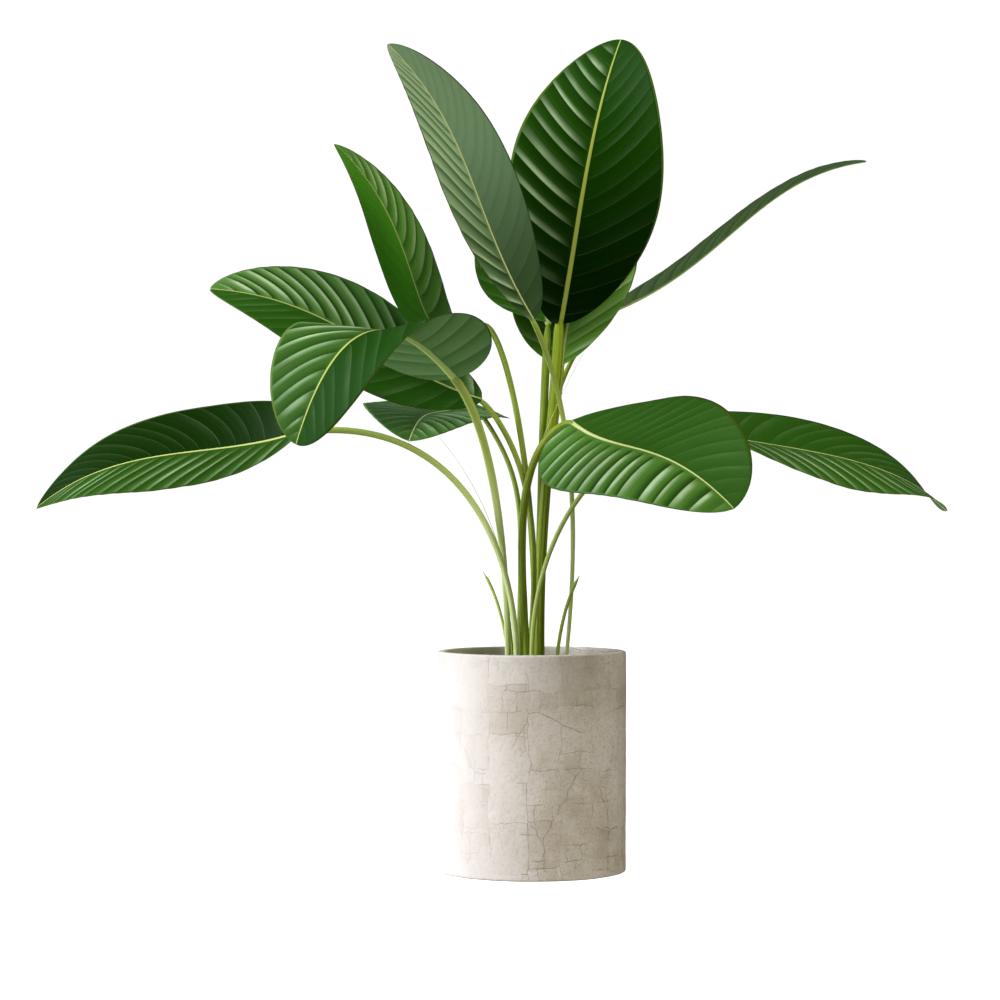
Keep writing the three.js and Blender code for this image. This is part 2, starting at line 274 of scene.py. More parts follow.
# foot: where the stalk stands, across and back. stalk: the two handles of its curve. radius: at the foot
# and at the blade. rib: the midrib's curve from stalk to tip. side: direction of the right half at the base
# and the tip. half: half the blade's width. fold: rise of both halves in degrees, base and tip. curl: droop
# of the left and right margin. outline: fullness at base and tip. Pairs for the left and right half: relief,
# depth of the pleats; tones, the upper face's colour, partly its own and partly painted light and shade that
# makes one half lighter and the other darker; paintedHighlight, strength of the painted highlight streak on
# each pleat; lead, how far the side veins run forward, in blade lengths. shine: the face's reflection. veins:
# pairs of side veins. swell: how far the painted highlight is held back near the base. deep: painted shade
# near the base. ribTone, stem: tone of the rib and of the stalk, 0 pale to 1 deep, below 0 paler still.
# seed: small irregularities.
leaves = {
    'left-low': dict(
        foot=(-0.025, -0.04), stalk=((-0.009, -0.073, 0.539), (-0.134, -0.1, 0.724)), radius=(0.0046, 0.005),
        rib=((-0.359, -0.106, 0.692), (-0.509, -0.002, 0.646),
             (-0.648, -0.031, 0.684), (-0.784, -0.008, 0.574)),
        side=((0, 0.81, 0.58), (0.17, 0.84, 0.51)), half=0.115, fold=(14, 6), curl=(0.12, 0.06),
        outline=(0.5, 0.63), relief=(0.8, 0.1), tones=((44, 80, 18), (14, 42, 0)), paintedHighlight=(0.55, 0.03),
        shine=0.03, veins=17, lead=(0.22, 0.22), swell=0.2, deep=0.1, ribTone=0.55, stem=0.2, seed=1),
    'left-high': dict(
        foot=(-0.009, -0.016), stalk=((0.013, -0.019, 0.489), (0.015, -0.024, 0.637)),
        radius=(0.0046, 0.0042),
        rib=((-0.078, -0.029, 0.745), (-0.243, -0.03, 0.795),
             (-0.312, -0.073, 0.905), (-0.503, -0.075, 0.916)),
        side=((0.5, 0.81, 0.3), (0.52, 0.71, 0.47)), half=0.114, fold=(5, 9), curl=(0.09, 0.05),
        outline=(0.52, 0.64), relief=(0.3, 1.0), tones=((40, 90, 12), (86, 130, 60)), paintedHighlight=(0.1, 1.6),
        shine=0.18, veins=16, lead=(0.22, 0.22), swell=0.3, deep=0.4, ribTone=0.5, stem=0.6, seed=2),
    'front-left': dict(
        foot=(-0.037, -0.016), stalk=((-0.036, -0.03, 0.504), (-0.06, -0.104, 0.694)),
        radius=(0.0044, 0.0066),
        rib=((-0.118, -0.176, 0.771), (-0.197, -0.334, 0.861),
             (-0.277, -0.466, 0.881), (-0.344, -0.423, 0.667)),
        side=((-0.88, 0.41, -0.24), (-0.74, 0.61, 0.27)), half=0.122, fold=(6, 9), curl=(-0.04, 0.03),
        outline=(0.45, 0.54), relief=(0.3, 0.9), tones=((26, 62, 12), (56, 94, 34)), paintedHighlight=(0.06, 0.9),
        shine=0.01, veins=14, lead=(0.22, 0.22), swell=0.0, deep=0.0, ribTone=0.75, stem=0.15, seed=3),
    'upper-left': dict(
        foot=(-0.001, 0.022), stalk=((0.025, 0.022, 0.6), (-0.054, 0.007, 0.938)), radius=(0.005, 0.0046),
        rib=((-0.089, 0.02, 0.851), (-0.215, 0.083, 0.812), (-0.154, 0.099, 1.015), (-0.32, 0.131, 1.168)),
        side=((0.41, 0.91, 0.06), (0.48, 0.87, 0)), half=0.1, fold=(5, 8), curl=(0.09, 0.08),
        outline=(0.5, 0.64), relief=(0.15, 1.0), tones=((82, 158, 22), (96, 152, 56)), paintedHighlight=(0.0, 1.0),
        shine=0.2, veins=14, lead=(0.22, 0.22), swell=0.3, deep=0.1, ribTone=0.0, stem=0.6, seed=4),
    'tall-left': dict(
        foot=(0.048, -0.01), stalk=((0.082, -0.005, 0.543), (0.066, 0.013, 0.734)), radius=(0.0029, 0.0042),
        rib=((0.001, -0.136, 0.864), (-0.099, -0.157, 1.028),
             (-0.088, -0.181, 1.149), (-0.222, -0.171, 1.284)),
        side=((0.61, 0.77, -0.17), (0.7, 0.71, 0.06)), half=0.098, fold=(18, 12), curl=(0.09, 0.12),
        outline=(0.5, 0.63), relief=(0.8, 0.2), tones=((158, 190, 150), (118, 150, 116)), paintedHighlight=(1.4, 0.03),
        shine=0.24, veins=18, lead=(0.22, 0.22), swell=0.0, deep=0.85, ribTone=0.0, stem=0.26, seed=5),
    'tall-middle': dict(
        foot=(0.014, 0.004), stalk=((0.005, 0.005, 0.548), (0.037, 0.012, 0.698)), radius=(0.0084, 0.0088),
        rib=((0.044, 0.01, 0.866), (0.074, -0.033, 1.016), (0.089, -0.047, 1.174), (0.142, -0.005, 1.317)),
        side=((0.72, 0.48, 0.5), (0.89, -0.41, 0.2)), half=0.122, fold=(12, 3), curl=(0.07, -0.09),
        outline=(0.53, 0.56), relief=(1.0, 0.25), tones=((28, 66, 6), (20, 60, 0)), paintedHighlight=(0.8, 0.04),
        shine=0.04, veins=15, lead=(0.16, 0.24), swell=0.9, deep=0.9, ribTone=0.95, stem=0.9, seed=6),
    'back-right': dict(
        foot=(0.016, 0.056), stalk=((-0.003, 0.062, 0.515), (0.035, 0.059, 0.649)), radius=(0.0054, 0.0054),
        rib=((0.049, 0.078, 0.803), (0.063, 0.191, 0.897), (0.093, 0.299, 1.007), (0.101, 0.387, 1.128)),
        side=((0.99, -0.1, 0.13), (1, 0, 0)), half=0.111, fold=(23, 18), curl=(0.05, 0.04),
        outline=(0.53, 0.6), relief=(0.5, 1.0), tones=((84, 134, 34), (116, 166, 64)), paintedHighlight=(0.4, 0.9),
        shine=0.2, veins=14, lead=(0.22, 0.22), swell=0.0, deep=0.1, ribTone=0.3, stem=0.7, seed=7),
    'back-middle': dict(
        foot=(0.006, 0.04), stalk=((0.017, 0.04, 0.539), (0.016, 0.022, 0.69)), radius=(0.006, 0.0062),
        rib=((0.027, 0.024, 0.87), (0.022, 0.124, 0.893), (0.021, 0.222, 0.996), (-0.013, 0.328, 1.114)),
        side=((1, 0, 0), (1, 0, 0)), half=0.112, fold=(13, 14), curl=(0.05, 0.05),
        outline=(0.5, 0.62), relief=(0.6, 0.6), tones=((64, 122, 8), (56, 106, 12)), paintedHighlight=(0.3, 0.4),
        shine=0.15, veins=14, lead=(0.22, 0.22), swell=0.0, deep=0.1, ribTone=0.4, stem=0.8, seed=8),
    'hanging-left': dict(
        foot=(-0.017, 0.006), stalk=((-0.026, 0.045, 0.544), (0.016, 0.151, 0.599)), radius=(0.0046, 0.0038),
        rib=((-0.094, 0.205, 0.747), (-0.16, 0.088, 0.716), (-0.172, -0.022, 0.742), (-0.191, -0.103, 0.678)),
        side=((-0.99, -0.07, 0.1), (-1, 0, 0.05)), half=0.114, fold=(-1, 8), curl=(0.02, 0),
        outline=(0.47, 0.59), relief=(1.0, 0.7), tones=((76, 118, 54), (66, 108, 48)), paintedHighlight=(1.0, 0.5),
        shine=0.2, veins=15, lead=(0.22, 0.22), swell=0.0, deep=0.0, ribTone=0.2, stem=0.65, seed=9),
    'right-high': dict(
        foot=(0.006, 0.08), stalk=((0.033, 0.118, 0.588), (-0.011, 0.21, 0.778)), radius=(0.0044, 0.0038),
        rib=((0.139, 0.273, 0.905), (0.329, 0.258, 0.979), (0.377, 0.233, 1.128), (0.556, 0.196, 1.147)),
        side=((-0.07, -0.99, -0.09), (-0.14, -0.99, -0.09)), half=0.114, fold=(19, 9), curl=(0.09, 0.1),
        outline=(0.49, 0.62), relief=(0.7, 0.7), tones=((88, 126, 78), (88, 126, 78)), paintedHighlight=(0.6, 0.6),
        shine=0.2, veins=16, lead=(0.22, 0.22), swell=0.0, deep=0.0, ribTone=0.3, stem=0.65, seed=10),
    'front-right': dict(
        foot=(-0.006, -0.046), stalk=((-0.013, -0.049, 0.476), (-0.043, -0.038, 0.662)),
        radius=(0.0064, 0.0056),
        rib=((0.059, -0.063, 0.711), (0.126, -0.232, 0.646), (0.184, -0.34, 0.69), (0.287, -0.432, 0.574)),
        side=((-0.78, -0.36, -0.51), (-0.88, -0.24, -0.4)), half=0.126, fold=(-5, 16), curl=(-0.09, 0.15),
        outline=(0.46, 0.5), relief=(0.25, 1.0), tones=((42, 84, 16), (72, 118, 40)), paintedHighlight=(0.06, 1.55),
        shine=0.15, veins=15, lead=(0.2, 0.09), swell=0.4, deep=0.0, ribTone=0.15, stem=0.85, seed=11),
    'right-low': dict(
        foot=(0.002, -0.07), stalk=((-0.018, -0.068, 0.507), (0.084, -0.07, 0.669)), radius=(0.0036, 0.0038),
        rib=((0.243, -0.062, 0.696), (0.411, 0.02, 0.664), (0.571, 0.009, 0.663), (0.658, -0.01, 0.57)),
        side=((0.49, -0.82, -0.3), (0.6, -0.61, -0.52)), half=0.115, fold=(14, -4), curl=(-0.02, 0.13),
        outline=(0.51, 0.62), relief=(0.3, 0.8), tones=((44, 94, 8), (66, 116, 32)), paintedHighlight=(0.12, 1.0),
        shine=0.18, veins=16, lead=(0.22, 0.24), swell=0.2, deep=0.0, ribTone=0.1, stem=0.36, seed=12),
}

stalkFoot = 0.28  # height of a stalk's lower end, inside the soil


def bezier(points, count):
    a, b, c, d = [Vector(p) for p in points]
    steps = [i / (count - 1) for i in range(count)]
    return [a * (1 - t) ** 3 + b * 3 * t * (1 - t) ** 2 + c * 3 * t * t * (1 - t) + d * t ** 3 for t in steps]


# the upper and the lower face of a blade are one grid that wraps round both margins
blade = {
    'columns': 112,        # round the section, even
    'rowsPerVein': 13,
    'ribSteps': 96,
    'bend': 1.4,           # how late the side veins turn forward
    'pleat': 0.0021,       # fall from one side vein's crest to the hollow before the next
    'thickness': 0.0009,
    'ribShare': 0.85,      # the rib's half width at the base, in the stalk's radii there
    'ribTip': 0.0013,      # and at the tip
    'ribDrop': 1.1,        # depth of the rib under the blade, in its half widths
    'ribRise': 0.35,       # height of its ridge above the blade
    'ribTaper': 0.8,
    'wave': 0.004,         # rise and fall of the margin
}

bladeInputs = {
    'Vector': ['Rib Start', 'Rib Handle 1', 'Rib Handle 2', 'Rib Tip', 'Side Base', 'Side Tip'],
    'Float': ['Half Width', 'Rib Radius', 'Fold Base', 'Fold Tip', 'Curl Left', 'Curl Right', 'Full Base',
              'Full Tip', 'Relief Left', 'Relief Right', 'Lead Left', 'Lead Right', 'Pleat Height',
              'Thickness', 'Wave', 'Seed'],
    'Int': ['Vein Pairs', 'Columns', 'Rows'],
    'Material': ['Material'],
}

# the inputs that a leaf's measures go to, one after another
bladeMeasures = {
    'rib': ['Rib Start', 'Rib Handle 1', 'Rib Handle 2', 'Rib Tip'], 'side': ['Side Base', 'Side Tip'],
    'fold': ['Fold Base', 'Fold Tip'], 'outline': ['Full Base', 'Full Tip'],
    'curl': ['Curl Left', 'Curl Right'], 'relief': ['Relief Left', 'Relief Right'],
    'lead': ['Lead Left', 'Lead Right'],
}


def bladeTree():
    board, given = newTree('leafBlade', bladeInputs)
    count = {2: given['Columns'] + 1, 3: given['Rows'] + 1}
    grid = board.add('GeometryNodeMeshGrid', None, {0: 1.0, 1: 1.0, **count})
    turn, start, _ = board.apart(grid.beside('UV Map'))

    # across runs from -1 at the left margin to 1 at the right one on the upper face, and back below
    across = 1 - abs(4 * turn - 2)
    upper = turn < 0.5
    side = board.maths('SIGN', across)
    isRight = across > 0
    out = abs(across) ** 1.25
    lead = mix(given['Lead Left'], given['Lead Right'], isRight)
    reach = start + 4 * lead * start * (1 - start)
    along = mix(start, reach, out ** blade['bend'])
    isOpen = (start > 0.001) * (start < 0.999)   # the first and the last row close on the rib

    # the rib's curve and the directions that go with it
    points = {0: blade['ribSteps'], 1: given['Rib Start'], 2: given['Rib Handle 1'],
              3: given['Rib Handle 2'], 4: given['Rib Tip']}
    curve = board.add('GeometryNodeCurvePrimitiveBezierSegment', {'mode': 'POSITION'}, points)
    sample = board.add('GeometryNodeSampleCurve', {'mode': 'FACTOR'}, {0: curve, 2: along}, out=1)
    forward = sample.beside('Tangent')
    towards = mix(given['Side Base'], given['Side Tip'], along)
    lean = board.arrows('DOT_PRODUCT', towards, forward, out=1)
    right = board.arrows('NORMALIZE', towards - forward * lean)
    up = board.arrows('CROSS_PRODUCT', right, forward)

    # outline
    widest = given['Full Base'] / (given['Full Base'] + given['Full Tip'])
    bulk = (reach / widest) ** given['Full Base'] * ((1 - reach) / (1 - widest)) ** given['Full Tip']
    ribHalf = mix(given['Rib Radius'], blade['ribTip'], along ** blade['ribTaper'])
    ribReach = mix(given['Rib Radius'], blade['ribTip'], reach ** blade['ribTaper'])
    wide = board.maths('MAXIMUM', given['Half Width'] * bulk, ribReach)
    spread = wide * out

    # pleats between the side veins, uneven as they grow
    shift = board.noise(start * 9 + given['Seed'] * 7.3 + isRight * 3.7, 1.0, 1.0, dimensions='1D') - 0.5
    phase = start * given['Vein Pairs'] + isRight * 0.5 + shift * 0.6 * board.ease(start, 0, 0.15)
    share = board.maths('FRACT', phase)
    pleat = phase * 0.8 + given['Seed'] * 31 + isRight * 57
    vigour = board.noise(pleat, 1.0, 1.0, dimensions='1D') * 1.4 + 0.3
    crest = (1 - share) ** 1.35 + board.ease(share, 0.66, 1.0)
    between = 1 - abs(board.maths('FRACT', phase * 2) * 2 - 1) ** 2.2
    firm = board.ease(out, 0.03, 0.34) * (1 - 0.6 * board.ease(out, 0.72, 1.0))
    firm = firm * board.ease(start, 0.0, 0.05) * (1 - board.ease(start, 0.6, 0.95))
    relief = mix(given['Relief Left'], given['Relief Right'], isRight)
    pleats = given['Pleat Height'] * relief * firm * (crest * vigour + between * 0.25 - 0.55)
    drift = board.noise(board.triple(along * 3.2, isRight * 4, given['Seed'] * 5.1), 1.0, 1.0) - 0.5
    pleats = pleats + given['Wave'] * drift * out * out * board.ease(start, 0.0, 0.1)

    # the section: thin blade, the rib's half round below and its low ridge above
    ribSpan = spread / ribHalf
    arch = board.maths('SQRT', board.maths('MAXIMUM', 1 - ribSpan * ribSpan, 0.0))
    skin = given['Thickness'] * 0.5 * (1 - out ** 8)
    top = skin + arch * ribHalf * blade['ribRise']
    bottom = skin + arch * ribHalf * blade['ribDrop']
    layer = mix(-bottom, top, upper)

    lift = mix(given['Fold Base'], given['Fold Tip'], along) * math.radians(1)
    sine, cosine = board.maths('SINE', lift), board.maths('COSINE', lift)
    curl = mix(given['Curl Left'], given['Curl Right'], isRight)
    height = spread * sine - curl * spread * spread / given['Half Width']
    outward = up * cosine - right * (side * sine)
    offset = right * (side * spread * cosine) + up * height + outward * (pleats + layer)
    shaped = board.add('GeometryNodeSetPosition', None, {0: grid, 'Position': sample + offset * isOpen})
    kept = {'across': side * out, 'along': along, 'phase': phase, 'upper': upper, 'ribSpan': side * ribSpan}
    for name, value in kept.items():
        shaped = keep(board, shaped, name, value)
    welded = board.add('GeometryNodeMergeByDistance', None, {0: shaped, 'Distance': 1e-5})
    return closeTree(board, welded, given['Material'])


# one leaf's blade material: streaks and lines follow the stored phase of the side veins
bladeFinish = {
    'underPale': (122, 166, 104), 'underDeep': (104, 150, 84), 'underVein': (166, 196, 136),
    # the darker olive for the rib's flanks on the next line is painted shade
    'ribPale': (204, 212, 150), 'ribDeep': (150, 164, 66), 'ribFlankShade': (140, 150, 70),
    # the pale streak colour on the next line is painted highlight
    'ribUnder': (204, 228, 138), 'paintedHighlight': (168, 196, 150), 'vein': (140, 174, 112),
    'halfVein': (96, 138, 66), 'margin': (70, 92, 24),
    # 'shade' and 'baseShade' are painted shade, in the pleats' hollows and near the base; 'cloud' is the
    # blade's blotchy tone
    'cloud': (196, 204, 170), 'shade': (96, 128, 70), 'baseShade': (84, 116, 50),   # darken what they lie on
    'roughness': 0.4, 'fineLines': 9.0,
}


def bladeMaterial(name, leaf):
    material, board, shader = newMaterial(
        'blade-' + name, Specular_IOR_Level=leaf['shine'], Specular_Tint=(0.85, 1.0, 0.7, 1.0))
    finish = {key: hue(*tone) for key, tone in bladeFinish.items() if isinstance(tone, tuple)}
    across, along = attribute(board, 'across'), attribute(board, 'along')
    phase, ribSpan = attribute(board, 'phase'), attribute(board, 'ribSpan')
    isUpper = attribute(board, 'upper') > 0.5
    isRight = across > 0
    out = abs(across)
    here = board.add('ShaderNodeTexCoord', out='Object')

    clouds = board.noise(here, 11.0, 3.0)
    fine = board.triple(phase * bladeFinish['fineLines'], out * 1.6, leaf['seed'] * 3.0)
    lines = board.noise(fine, 1.0, 3.0, 0.6)
    share = board.maths('FRACT', phase)
    near = board.maths('MINIMUM', share, 1 - share)
    nearHalf = abs(board.maths('FRACT', phase * 2 + 0.5) - 0.5)
    body = board.ease(out, 0.02, 0.1) * (1 - board.ease(out, 0.94, 1.0))
    vein = (1 - board.ease(near, 0.0, 0.022)) * body
    halfVein = (1 - board.ease(nearHalf, 0.0, 0.03)) * body

    # painted highlight: a pale streak along the tip side of each side vein that fades towards the next vein,
    # which gets painted shade in its hollow
    paintedHighlight = mix(leaf['paintedHighlight'][0], leaf['paintedHighlight'][1], isRight)
    pleat = board.maths('FLOOR', phase) + isRight * 57 + leaf['seed'] * 31
    vigour = board.add('ShaderNodeTexWhiteNoise', {'noise_dimensions': '1D'}, {'W': pleat})
    paintedHighlight = paintedHighlight * (1 - leaf['swell'] * (1 - board.ease(along, 0.08, 0.62)))
    paintedHighlight = paintedHighlight * (1 - board.ease(along, 0.88, 1.0))
    flank = board.ease(share, 0.0, 0.02) * (1 - board.ease(share, 0.03, 0.5)) ** 1.5
    reach = board.ease(out, 0.02, 0.42) - 0.6 * board.ease(out, 0.66, 1.0)
    uneven = board.noise(board.triple(pleat * 3.3, out * 2.4, share * 1.5), 1.0, 1.0) * 1.2 + 0.3
    highlightStreak = flank * paintedHighlight * body * reach * (0.45 + 0.6 * vigour) * uneven * (0.7 + 0.6 * lines)
    hollow = board.ease(share, 0.4, 0.97) * body
    hollowShade = hollow * (0.1 + paintedHighlight * 0.5)

    # each half's tone: partly the leaf's own colour, partly painted light and shade that makes one half
    # lighter and the other darker
    left, right = [hue(*tone) for tone in leaf['tones']]
    face = board.blend(isRight, left, right)
    face = board.blend(clouds * 0.4, face, finish['cloud'], 'MULTIPLY')
    # painted shade in each pleat's hollow
    face = board.blend(hollowShade, face, finish['shade'], 'MULTIPLY')
    # painted shade: the blade darkens towards its base
    depth = leaf['deep'] * (1 - board.ease(along, 0.05, 0.7))
    face = board.blend(depth, face, finish['baseShade'], 'MULTIPLY')
    # painted highlight: the pale streaks along the pleats
    face = board.blend(highlightStreak, face, finish['paintedHighlight'])
    # pale vein lines in the leaf's own colour, made brighter by painted highlight where the streaks are
    # strong
    face = board.blend(vein * (0.1 + paintedHighlight * 0.5), face, finish['vein'])
    face = board.blend(halfVein * (0.05 + paintedHighlight * 0.2), face, finish['halfVein'])
    below = board.blend(clouds, finish['underDeep'], finish['underPale'])
    # underside: painted shade in the pleats' hollows and a fainter painted highlight streak
    below = board.blend(hollow * 0.4, below, finish['shade'], 'MULTIPLY')
    below = board.blend(flank * body * reach * 0.22, below, finish['paintedHighlight'])
    below = board.blend(vein * 0.4, below, finish['underVein'])
    onRib = 1 - board.ease(abs(ribSpan), mix(0.95, 0.66, isUpper), mix(1.15, 0.9, isUpper))
    ribMiddle = mix(Vector(finish['ribPale']), Vector(finish['ribDeep']), leaf['ribTone'])
    # the rib's pale middle turns darker olive towards its flanks: painted shade on its round
    ribTone = board.blend(board.ease(abs(ribSpan), 0.3, 0.9) * 0.8, tuple(ribMiddle), finish['ribFlankShade'])
    colour = board.blend(isUpper, below, face)
    colour = board.blend(board.ease(out, 0.965, 0.985) * 0.85, colour, finish['margin'])
    colour = board.blend(onRib, colour, board.blend(isUpper, finish['ribUnder'], ribTone))

    grain = board.noise(here, 900.0, 2.0)
    height = lines * 0.5 + vein * 0.8 + halfVein * 0.3 + grain * 0.1
    bump = board.add('ShaderNodeBump', None, {'Strength': 0.35, 'Distance': 0.0006, 'Height': height})
    rough = bladeFinish['roughness'] + (clouds - 0.5) * 0.14 + (1 - isUpper) * 0.14 + onRib * 0.08
    feed(board, shader, Base_Color=colour, Roughness=rough, Normal=bump)
    return material


tree = bladeTree()
for name, leaf in leaves.items():
    values = {
        'Half Width': leaf['half'], 'Rib Radius': leaf['radius'][1] * blade['ribShare'],
        'Pleat Height': blade['pleat'], 'Thickness': blade['thickness'], 'Wave': blade['wave'],
        'Vein Pairs': leaf['veins'], 'Rows': leaf['veins'] * blade['rowsPerVein'],
        'Columns': blade['columns'], 'Seed': leaf['seed'], 'Material': bladeMaterial(name, leaf),
    }
    for measure, labels in bladeMeasures.items():
        values.update(zip(labels, leaf[measure]))
    place(grown('blade-' + name, tree, values), 'blade', 'leaf-' + name)
print('blades grown')


# stalks, shoots and threads are a furrowed section swept along a path
stem = {
    'sides': 28, 'furrows': 5, 'furrowDepth': 0.035, 'steps': 90, 'shortSteps': 40,
    'thick': 0.008, 'thickFurrows': 9,   # foot radius from which a stalk has more furrows
    'intoRib': 0.07, 'ribSteps': 120,    # share of the rib that a stalk runs on under
    'sink': 0.55, 'sinkSteps': 5,        # its depth below the rib's line there, in radii
    'wear': 14, 'wearReach': 5,          # rounds and steps that wear the corner between them
    'endShare': 0.35,                    # radius at its end, of that at the blade
}

sweepInputs = {
    'Geometry': ['Geometry'],
    'Float': ['Foot Radius', 'Top Radius', 'Taper From', 'End Radius', 'Furrows', 'Furrow Depth', 'Seed'],
    'Int': ['Sides'],
    'Material': ['Material'],
}


def sweepTree():
    board, given = newTree('stalkSweep', sweepInputs)
    curve = board.add('GeometryNodeMeshToCurve', None, {0: given['Geometry']})
    along = board.add('GeometryNodeSplineParameter')
    swelling = board.noise(along * 7 + given['Seed'] * 3.1, 1.0, 1.0, dimensions='1D') - 0.5
    stemRadius = mix(given['Foot Radius'], given['Top Radius'], along / given['Taper From'])
    taper = board.ease(along, given['Taper From'], 1.0)
    radius = mix(stemRadius, given['End Radius'], taper) * (1 + swelling * 0.08)
    curve = keep(board, curve, 'along', along)
    curve = keep(board, curve, 'girth', radius)
    ring = board.add('GeometryNodeCurvePrimitiveCircle', {'mode': 'RADIUS'}, {0: given['Sides'], 4: 1.0})
    ring = keep(board, ring, 'around', board.add('GeometryNodeSplineParameter'))
    ringX, ringY, _ = board.apart(board.add('GeometryNodeInputPosition'))
    ring = keep(board, keep(board, ring, 'ringX', ringX), 'ringY', ringY)
    sockets = {0: curve, 1: ring, 'Scale': radius, 'Fill Caps': True}
    swept = board.add('GeometryNodeCurveToMesh', None, sockets)

    # furrows run along the stalk: each point moves in or out from the middle by its place round the ring
    around = board.add('GeometryNodeInputNamedAttribute', {'data_type': 'FLOAT'}, {'Name': 'around'})
    girth = board.add('GeometryNodeInputNamedAttribute', {'data_type': 'FLOAT'}, {'Name': 'girth'})
    normal = board.add('GeometryNodeInputNormal')
    ripple = board.maths('COSINE', around * given['Furrows'] * 2 * math.pi + given['Seed'])
    flat = board.maths('COSINE', around * 4 * math.pi + given['Seed'] * 2)
    depth = girth * given['Furrow Depth'] * (ripple + flat)
    moved = board.add('GeometryNodeSetPosition', None, {0: swept, 'Offset': normal * depth})
    return closeTree(board, moved, given['Material'])


stemFinish = {
    'pale': (182, 204, 104), 'deep': (130, 152, 2), 'foot': (224, 238, 168), 'dark': (44, 60, 0),
    'roughness': 0.42,
}


def stemMaterial(name, tone):
    material, board, shader = newMaterial('stem-' + name, Specular_IOR_Level=0.14)
    along = attribute(board, 'along')
    ringX, ringY = attribute(board, 'ringX'), attribute(board, 'ringY')
    here = board.add('ShaderNodeTexCoord', out='Object')
    lines = board.noise(board.triple(ringX * 5, ringY * 5, along * 1.6), 1.0, 4.0, 0.6)
    blots = board.noise(here, 26.0, 3.0)
    base = mix(Vector(hue(*stemFinish['pale'])), Vector(hue(*stemFinish['deep'])), tone)
    pale = mix(base, Vector(hue(*stemFinish['foot'])), 0.5)
    dark = mix(base, Vector(hue(*stemFinish['dark'])), 0.25 + 0.5 * tone)
    colour = board.blend(board.ease(lines, 0.36, 0.58), tuple(dark), tuple(base))
    colour = board.blend(board.ease(lines, 0.55, 0.75) * 0.6, colour, tuple(pale))
    footShare = (1 - board.ease(along, 0.3, 0.75)) * min(1.0, max(0.0, 1.2 - 3 * tone))
    colour = board.blend(footShare, colour, hue(*stemFinish['foot']))
    colour = board.blend(board.ease(blots, 0.6, 0.8) * 0.25, colour, tuple(dark))
    fine = board.noise(board.triple(ringX * 24, ringY * 24, along * 3), 1.0, 2.0)
    bump = board.add('ShaderNodeBump', None, {'Strength': 0.3, 'Distance': 0.0004, 'Height': fine + lines})
    rough = stemFinish['roughness'] + (lines - 0.5) * 0.2
    feed(board, shader, Base_Color=colour, Roughness=rough, Normal=bump)
    return material


def pathMesh(name, points):
    mesh = bpy.data.meshes.new(name)
    mesh.from_pydata([tuple(p) for p in points], [(i, i + 1) for i in range(len(points) - 1)], [])
    return mesh


# the stalk's curve run on into the rib, with the corner between them worn round
def stalkPath(leaf):
    lower = bezier([(*leaf['foot'], stalkFoot), *leaf['stalk'], leaf['rib'][0]], stem['steps'])
    rib = bezier(leaf['rib'], stem['ribSteps'])
    sink = leaf['radius'][1] * stem['sink']
    below = Vector(leaf['side'][0]).cross(rib[1] - rib[0]).normalized() * -sink
    shared = rib[1:round(stem['ribSteps'] * stem['intoRib'])]
    path = lower + [p + below * min(1, i / stem['sinkSteps']) for i, p in enumerate(shared)]
    corner = len(lower) - 1
    first, last = max(1, corner - stem['wearReach']), min(len(path) - 1, corner + stem['wearReach'])
    for _ in range(stem['wear']):
        softened = list(path)
        for i in range(first, last):
            softened[i] = path[i] * 0.5 + (path[i - 1] + path[i + 1]) * 0.25
        path = softened
    return path, corner / (len(path) - 1)


tree = sweepTree()


def sweep(name, points, foot, top, material, seed, cornerShare=1.0, end=None, furrows=stem['furrows']):
    values = {
        'Foot Radius': foot, 'Top Radius': top, 'Taper From': cornerShare, 'End Radius': end or top,
        'Sides': stem['sides'], 'Furrows': furrows, 'Furrow Depth': stem['furrowDepth'],
        'Seed': seed, 'Material': material,
    }
    return grown(name, tree, values, pathMesh(name, points))


for name, leaf in leaves.items():
    path, cornerShare = stalkPath(leaf)
    material = stemMaterial(name, leaf['stem'])
    foot, top = leaf['radius']
    end = top * stem['endShare']
    furrows = stem['thickFurrows'] if foot > stem['thick'] else stem['furrows']
    thing = sweep('stem-' + name, path, foot, top, material, leaf['seed'], cornerShare, end, furrows)
    place(thing, 'stalk', 'stalk-' + name)

# pointed young shoots, from foot radius to tip radius
shoots = {
    'right': dict(curve=((0.036, -0.026, stalkFoot), (0.038, -0.028, 0.35), (0.048, -0.034, 0.42),
                         (0.075, -0.042, 0.468)), radius=(0.003, 0.0026), stem=0.45),
    'left': dict(curve=((-0.034, 0.016, stalkFoot), (-0.035, 0.018, 0.36), (-0.05, 0.022, 0.43),
                        (-0.077, 0.026, 0.472)), radius=(0.003, 0.0026), stem=-0.5),
    'short': dict(curve=((-0.027, -0.004, stalkFoot), (-0.027, -0.003, 0.32), (-0.031, 0, 0.36),
                         (-0.035, 0.002, 0.402)), radius=(0.0026, 0.0014), stem=1.0),
}

for name, shoot in shoots.items():
    path = bezier(shoot['curve'], stem['shortSteps'])
    material = stemMaterial('shoot-' + name, shoot['stem'])
    thing = sweep('young-' + name, path, *shoot['radius'], material, seed=20, cornerShare=0.92,
                  end=0.0006, furrows=3)
    place(thing, 'stalk', 'shoot-' + name)

